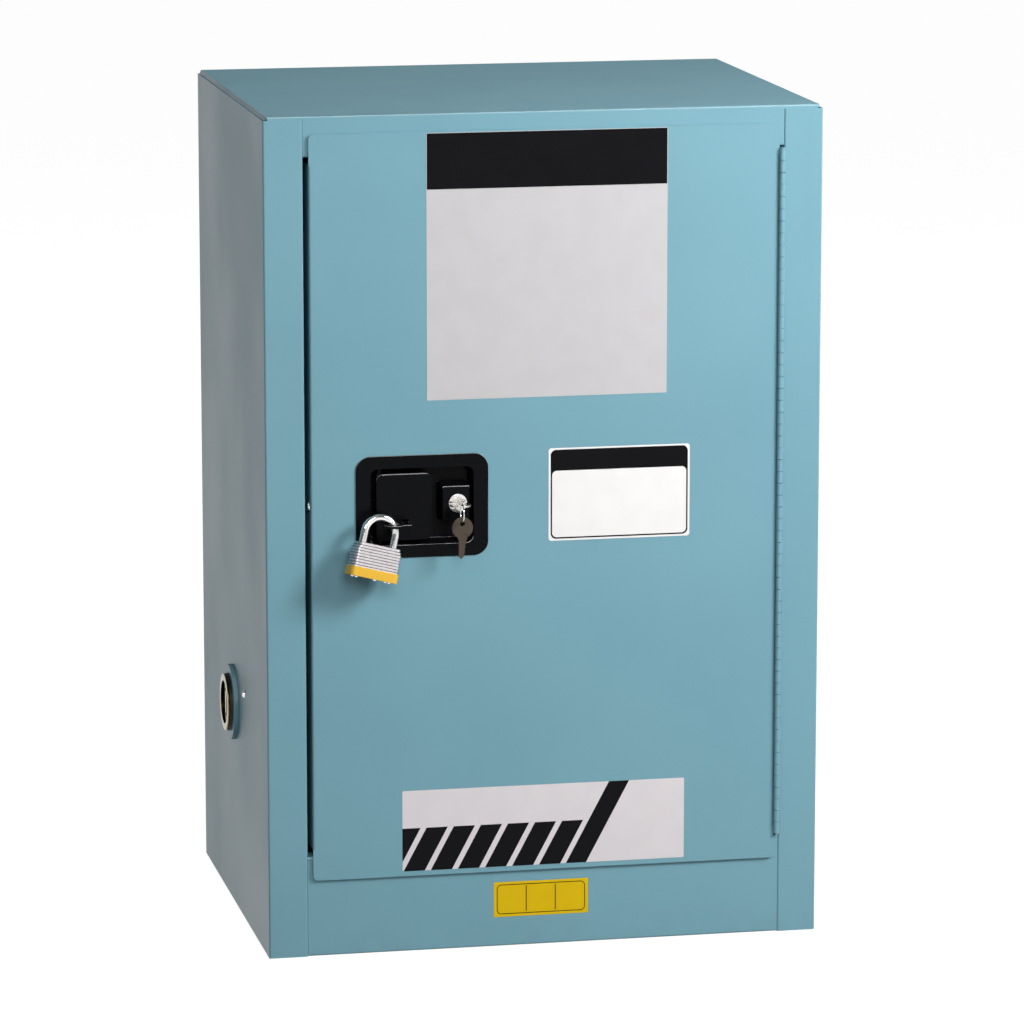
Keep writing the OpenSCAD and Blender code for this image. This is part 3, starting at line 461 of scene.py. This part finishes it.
def pick(piece, wanted):
    """Opens a piece's mesh with the points selected that lie at the wanted places, in mm."""
    only(piece)
    bpy.ops.object.mode_set(mode="EDIT")
    bpy.ops.mesh.select_mode(type="VERT")
    bpy.ops.mesh.select_all(action="DESELECT")
    mesh = bmesh.from_edit_mesh(piece.data)
    for point in mesh.verts:
        point.select = wanted(*(point.co * 1000))
    mesh.select_flush(True)
    bmesh.update_edit_mesh(piece.data)


def shift(piece, wanted, *offset):
    """Moves the points at the wanted places by an offset in mm."""
    pick(piece, wanted)
    bpy.ops.transform.translate(value=mm(*offset))
    bpy.ops.object.mode_set(mode="OBJECT")


def squeeze(piece, wanted, factors, about):
    """Scales the points at the wanted places about a place in mm."""
    pick(piece, wanted)
    bpy.ops.transform.resize(value=factors, center_override=mm(*about))
    bpy.ops.object.mode_set(mode="OBJECT")


def stand_in(piece, node):
    """Shows a piece in place of a CAD node, on its body."""
    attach(piece, BODY_OF[node])
    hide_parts(node)


def smooth(piece):
    """Shades curves as curves and keeps edges sharper than SMOOTH_ANGLE."""
    only(piece)
    bpy.ops.object.shade_smooth_by_angle(angle=math.radians(SMOOTH_ANGLE))
    use_modifier(piece, "WEIGHTED_NORMAL", mode="FACE_AREA", weight=100, keep_sharp=True)


def ease(piece, width, angle):
    """Bevels edges sharper than an angle by a width in mm."""
    use_modifier(
        piece, "BEVEL", width=width / 1000, segments=EASE_SEGMENTS, limit_method="ANGLE",
        angle_limit=math.radians(angle), miter_outer="MITER_ARC",
    )


def dress(node, width=0.0, shape=None):
    """Stands in for a CAD node: the same form with smooth curves and eased edges, reshaped by shape."""
    piece = NODES[node].copy()
    piece.data = NODES[node].data.copy()
    piece.name = node + "_finished"
    piece.parent = None
    for key in list(piece.keys()):
        del piece[key]
    bpy.context.collection.objects.link(piece)
    only(piece)
    bpy.ops.object.mode_set(mode="EDIT")
    bpy.ops.mesh.select_all(action="SELECT")
    bpy.ops.mesh.remove_doubles(threshold=MERGE_DISTANCE)
    bpy.ops.mesh.dissolve_limited(angle_limit=math.radians(FLAT_ANGLE))
    bpy.ops.object.mode_set(mode="OBJECT")
    if shape:
        shape(piece)
    if width:
        ease(piece, width, EASE_ANGLE)
    smooth(piece)
    stand_in(piece, node)


# ---------- labels ----------

# The faces that carry labels, the vinyl's thickness, and the faces round each corner; lengths in mm
DOOR_FACE = -231.0
SILL_FACE = -227.7
VINYL = 0.18
CORNER_SEGMENTS = 5


def label(name, low, high, face, radius, material, body):
    """A vinyl label with rounded corners, stuck on a face that looks towards -Y."""
    width, height = high[0] - low[0], high[1] - low[1]
    middle = mm((low[0] + high[0]) / 2, face, (low[1] + high[1]) / 2)
    bpy.ops.object.select_all(action="DESELECT")
    bpy.ops.mesh.primitive_plane_add(size=1, location=middle, rotation=(math.pi / 2, 0, 0))
    piece = bpy.context.object
    piece.name = name
    piece.scale = (width / 1000, height / 1000, 1)
    finish_shape(piece)
    bpy.ops.object.mode_set(mode="EDIT")
    bpy.ops.mesh.select_all(action="SELECT")
    bpy.ops.mesh.bevel(offset=radius / 1000, segments=CORNER_SEGMENTS, affect="VERTICES")
    bpy.ops.mesh.extrude_region_move(TRANSFORM_OT_translate={"value": (0, -VINYL / 1000, 0)})
    bpy.ops.mesh.select_all(action="SELECT")
    bpy.ops.mesh.normals_make_consistent(inside=False)
    bpy.ops.object.mode_set(mode="OBJECT")
    paint_piece(piece, material)
    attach(piece, body)


def panel(x, z, low, high, radius):
    """1 inside an upright rectangle with rounded corners, 0 outside it."""
    beyond_x = (abs(x - (low[0] + high[0]) / 2) - ((high[0] - low[0]) / 2 - radius)).at_least(0)
    beyond_z = (abs(z - (low[1] + high[1]) / 2) - ((high[1] - low[1]) / 2 - radius)).at_least(0)
    return beyond_x * beyond_x + beyond_z * beyond_z < radius * radius


def header(x, z):
    """A black band across the top, which stops just short of the edges."""
    return z.between(810.5, 868.6) * x.between(-125.4, 128.4)


def framed(x, z):
    """A black frame that widens into a band along the top."""
    outside = panel(x, z, (5.2, 439.3), (152.2, 533.9), 6)
    return outside * (1 - panel(x, z, (6.8, 440.9), (150.6, 511.6), 5))


def stripes(x, z):
    """Slanted black bars along the lower part, and a tall one at their right end."""
    slant = x - (z - 88.8) * 0.535
    bars = (slant + 152.5) % 29.15
    return (z < 135.1) * (slant < 21) * (bars < 22.8) + slant.between(22.2, 44)


def ruled(x, z):
    """A thin rounded border with two upright dividers."""
    outside = panel(x, z, (-51.8, 35.6), (43.8, 68.1), 5)
    border = outside * (1 - panel(x, z, (-50.8, 36.6), (42.8, 67.1), 4))
    dividers = (x.between(-20.5, -19.4) + x.between(11.0, 12.1)) * z.between(38.0, 65.9)
    return border + dividers


label("upper_label", (-125.9, 590.6), (128.9, 869.1), DOOR_FACE, 1.0,
      label_ink("grey label vinyl", (0.515, 0.505, 0.515), INK, header), "door")
label("side_label", (3.0, 437.3), (154.3, 535.7), DOOR_FACE, 3.0,
      label_ink("white label vinyl", (0.80, 0.79, 0.78), INK, framed), "door")
label("striped_label", (-153.5, 88.8), (150.3, 175.7), DOOR_FACE, 1.5,
      label_ink("striped label vinyl", (0.68, 0.64, 0.66), INK, stripes), "door")
label("yellow_label", (-55.0, 32.8), (47.0, 70.8), SILL_FACE, 0.8,
      label_ink("yellow label vinyl", (0.69, 0.455, 0.007), (0.07, 0.045, 0.006), ruled), "cabinet")


# ---------- edges, lid and lock ----------

# Widths in mm of the eased edges; other sheet metal and turned pieces only get smooth curves
EASED = {
    "latch_pan": 0.8, "paddle": 0.9, "padlock_eye": 0.5, "lock_barrel": 0.5, "lock_plug": 0.3,
    "lock_key": 0.35, "spare_key": 0.35, "padlock_bumper": 0.5, "padlock_plates": 0.45,
    "ground_screw": 0.15, "vent_collar_left": 0.6, "vent_collar_right": 0.6,
    "vent_tube_left": 0.5, "vent_tube_right": 0.5, "vent_bung_left": 0.4, "vent_bung_right": 0.4,
    "strike_plate": 0.3, "door_skin": 0.4, "shelf_tray": 1.0, "sump_tray": 1.0,
}
SMOOTHED = (
    "side_panel_left", "side_panel_right", "top_panel", "front_header", "front_sill", "door_back",
    "hinge_frame_leaf", "hinge_door_leaf", "hinge_pin", "latch_bolt", "bolt_guide", "paddle_pin",
    "pan_nuts", "lock_cam", "key_ring", "padlock_shackle", "padlock_rivets", "foot_nuts",
    "foot_front_left", "foot_front_right", "foot_back_left", "foot_back_right",
)

# The seam between lid and sides, in mm: the CAD's height of it, how much higher it is here, and
# how far below it the folds that move with it reach
SEAM = 884.0
SEAM_LIFT = 1.0
SEAM_FOLD = 2.0
LID_TOP = 889.0
# The lid's sloped sides start beyond LID_SIDE, and are made steeper and narrower about RIM_MIDDLE
LID_SIDE = 286.0
RIM_MIDDLE = 292.53
RIM_FACTOR = 1.6 / 5.5
# The lid's front fold moves back to lie flush with the header, which steps back from the front
FRONT = -228.5
FRONT_FOLD = 2.5
HEADER_STEP = 0.8
# At the front corners, the rim's lower points beside the stiles move inwards
CORNER_POINTS = (292.0, 292.4)
CORNER_DEPTH = 5.0
CORNER_TOP = 888.5
CORNER_INSET = 1.8
# Outer radius of the header's upper fold, and a distance between its inner and outer radius, in mm
HEADER_FOLD = 2.2
INSIDE_OF_FOLD = 1.6


def lid_rim(piece):
    """Makes the lid's rim steeper and narrower than the CAD's, and flush with the header in front."""
    low, high = CORNER_POINTS

    def corner(x, y, z):
        return low < abs(x) < high and y < FRONT + CORNER_DEPTH and z < CORNER_TOP

    for side in (-1, 1):
        middle = (side * RIM_MIDDLE, 0, 0)
        squeeze(piece, lambda x, y, z: x * side > LID_SIDE, (RIM_FACTOR, 1, 1), middle)
    squeeze(piece, lambda x, y, z: True, (1, 1, 1 - SEAM_LIFT / (LID_TOP - SEAM)), (0, 0, LID_TOP))
    shift(piece, lambda x, y, z: y < FRONT + FRONT_FOLD, 0, HEADER_STEP, 0)
    for side in (-1, 1):
        shift(piece, lambda x, y, z: x * side > 0 and corner(x, y, z), -side * CORNER_INSET, 0, 0)


def raised_seam(piece):
    """Lifts the upper fold of a side or of the header to the lid's higher seam."""
    shift(piece, lambda x, y, z: z > SEAM - SEAM_FOLD, 0, 0, SEAM_LIFT)


def welded_header(piece):
    """Squares the header's upper fold, where it meets the lid."""
    front = FRONT + HEADER_STEP
    middle = (front + HEADER_FOLD, SEAM - HEADER_FOLD)

    def outer_fold(x, y, z):
        return z > middle[1] - 0.01 and y < middle[0] and math.dist((y, z), middle) > INSIDE_OF_FOLD

    squeeze(piece, outer_fold, (1, 0, 1), (0, front, 0))
    raised_seam(piece)


# The lock's boss, in mm: how far its walls lean in, its corners' width and its eased edges'
BOSS_LEAN = 3.0
BOSS_CORNER = 2.2
BOSS_EDGE = 0.8
# Edges sharper than this angle in degrees are eased, so that its rounded corners aren't
BOSS_EDGE_ANGLE = 50
# Radius of its bore for the barrel, and the length of the tool that cuts it, in metres
BARREL_BORE = 0.0095
BORE_TOOL = 0.08
# How near a point lies, in mm, to the face or side that it belongs to
NEAR = 1.0


def lean_walls(piece, low, high):
    """Leans the block's upper, lower and left wall in towards its face; low and high in mm."""

    def on_face(y):
        return y < low.y + NEAR

    for inwards, end in ((1, low.z), (-1, high.z)):
        shift(piece, lambda x, y, z: on_face(y) and abs(z - end) < NEAR, 0, 0, inwards * BOSS_LEAN)
    shift(piece, lambda x, y, z: on_face(y) and x < low.x + NEAR, BOSS_LEAN, 0, 0)


def round_corners(piece):
    """Bevels the block's four edges that run from its foot to its face."""
    pick(piece, lambda x, y, z: True)
    bpy.ops.mesh.select_mode(type="EDGE")
    bpy.ops.mesh.select_all(action="DESELECT")
    mesh = bmesh.from_edit_mesh(piece.data)
    for edge in mesh.edges:
        start, end = edge.verts
        edge.select = abs(start.co.y - end.co.y) > NEAR / 1000
    bmesh.update_edit_mesh(piece.data)
    bpy.ops.mesh.bevel(offset=BOSS_CORNER / 1000, segments=4)
    bpy.ops.object.mode_set(mode="OBJECT")


def bore(piece, node):
    """Cuts a round hole through a piece, in line with a node that lies in it."""
    low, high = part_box(node)
    middle = [(a + b) / 2 for a, b in zip(low, high)]
    bpy.ops.object.select_all(action="DESELECT")
    bpy.ops.mesh.primitive_cylinder_add(
        vertices=64, radius=BARREL_BORE, depth=BORE_TOOL, location=middle, rotation=(math.pi / 2, 0, 0)
    )
    tool = bpy.context.object
    finish_shape(tool)
    use_modifier(piece, "BOOLEAN", object=tool, operation="DIFFERENCE", solver="EXACT")
    bpy.data.objects.remove(tool)


def lock_boss():
    """The block round the key's lock, with walls that lean in, tight corners and the barrel's bore."""
    low, high = [Vector(corner) * 1000 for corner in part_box("lock_housing")]
    bpy.ops.object.select_all(action="DESELECT")
    bpy.ops.mesh.primitive_cube_add(size=1, location=(low + high) / 2000)
    piece = bpy.context.object
    piece.name = "lock_boss"
    piece.scale = (high - low) / 1000
    finish_shape(piece)
    lean_walls(piece, low, high)
    round_corners(piece)
    bore(piece, "lock_barrel")
    ease(piece, BOSS_EDGE, BOSS_EDGE_ANGLE)
    smooth(piece)
    paint_piece(piece, FINISHES["black"])
    stand_in(piece, "lock_housing")


SHAPES = {
    "top_panel": lid_rim,
    "side_panel_left": raised_seam,
    "side_panel_right": raised_seam,
    "front_header": welded_header,
}
for node, width in EASED.items():
    dress(node, width)
for node in SMOOTHED:
    dress(node, shape=SHAPES.get(node))
lock_boss()


# ---------- floor and world ----------

# The floor's width and its rim's height in metres, how bright the camera and glossy pieces see it,
# where 1 is white, and how bright the world is
FLOOR_WIDTH = 60
FLOOR_RIM = 4
FLOOR_SHINE = 0.95
WORLD_SHINE = 0.13


def pale_floor():
    """A wide floor whose rim turns up all round, so that low views see nothing past it."""
    bpy.ops.object.select_all(action="DESELECT")
    bpy.ops.mesh.primitive_plane_add(size=FLOOR_WIDTH)
    floor = bpy.context.object
    floor.name = "floor"
    bpy.ops.object.mode_set(mode="EDIT")
    bpy.ops.mesh.extrude_region_move(TRANSFORM_OT_translate={"value": (0, 0, FLOOR_RIM)})
    bpy.ops.mesh.select_all(action="DESELECT")
    mesh = bmesh.from_edit_mesh(floor.data)
    for face in mesh.faces:
        face.select = face.calc_center_median().z > FLOOR_RIM * 0.75
    bpy.ops.mesh.delete(type="ONLY_FACE")
    bpy.ops.object.mode_set(mode="OBJECT")
    f = Finish("pale floor")
    grain = f.noise(14.0, 4.0)
    path = f.tree.nodes.new("ShaderNodeLightPath")
    rays = ("Is Camera Ray", "Is Glossy Ray", "Is Transmission Ray")
    camera, glossy, transmitted = [Value(f, path.outputs[ray]) for ray in rays]
    f.set(
        Base_Color=f.blend(grain, (0.18, 0.18, 0.18), (0.19, 0.19, 0.19)),
        Roughness=0.9,
        Emission_Color=(1, 1, 1),
        Emission_Strength=(camera + glossy + transmitted) * FLOOR_SHINE,
    )
    paint_piece(floor, f.material)


def plain_world():
    """The same dim light from all round."""
    world = bpy.data.worlds.new("studio")
    bpy.context.scene.world = world
    world.use_nodes = True
    light = world.node_tree.nodes["Background"]
    light.inputs["Color"].default_value = (1, 1, 1, 1)
    light.inputs["Strength"].default_value = WORLD_SHINE


pale_floor()
plain_world()
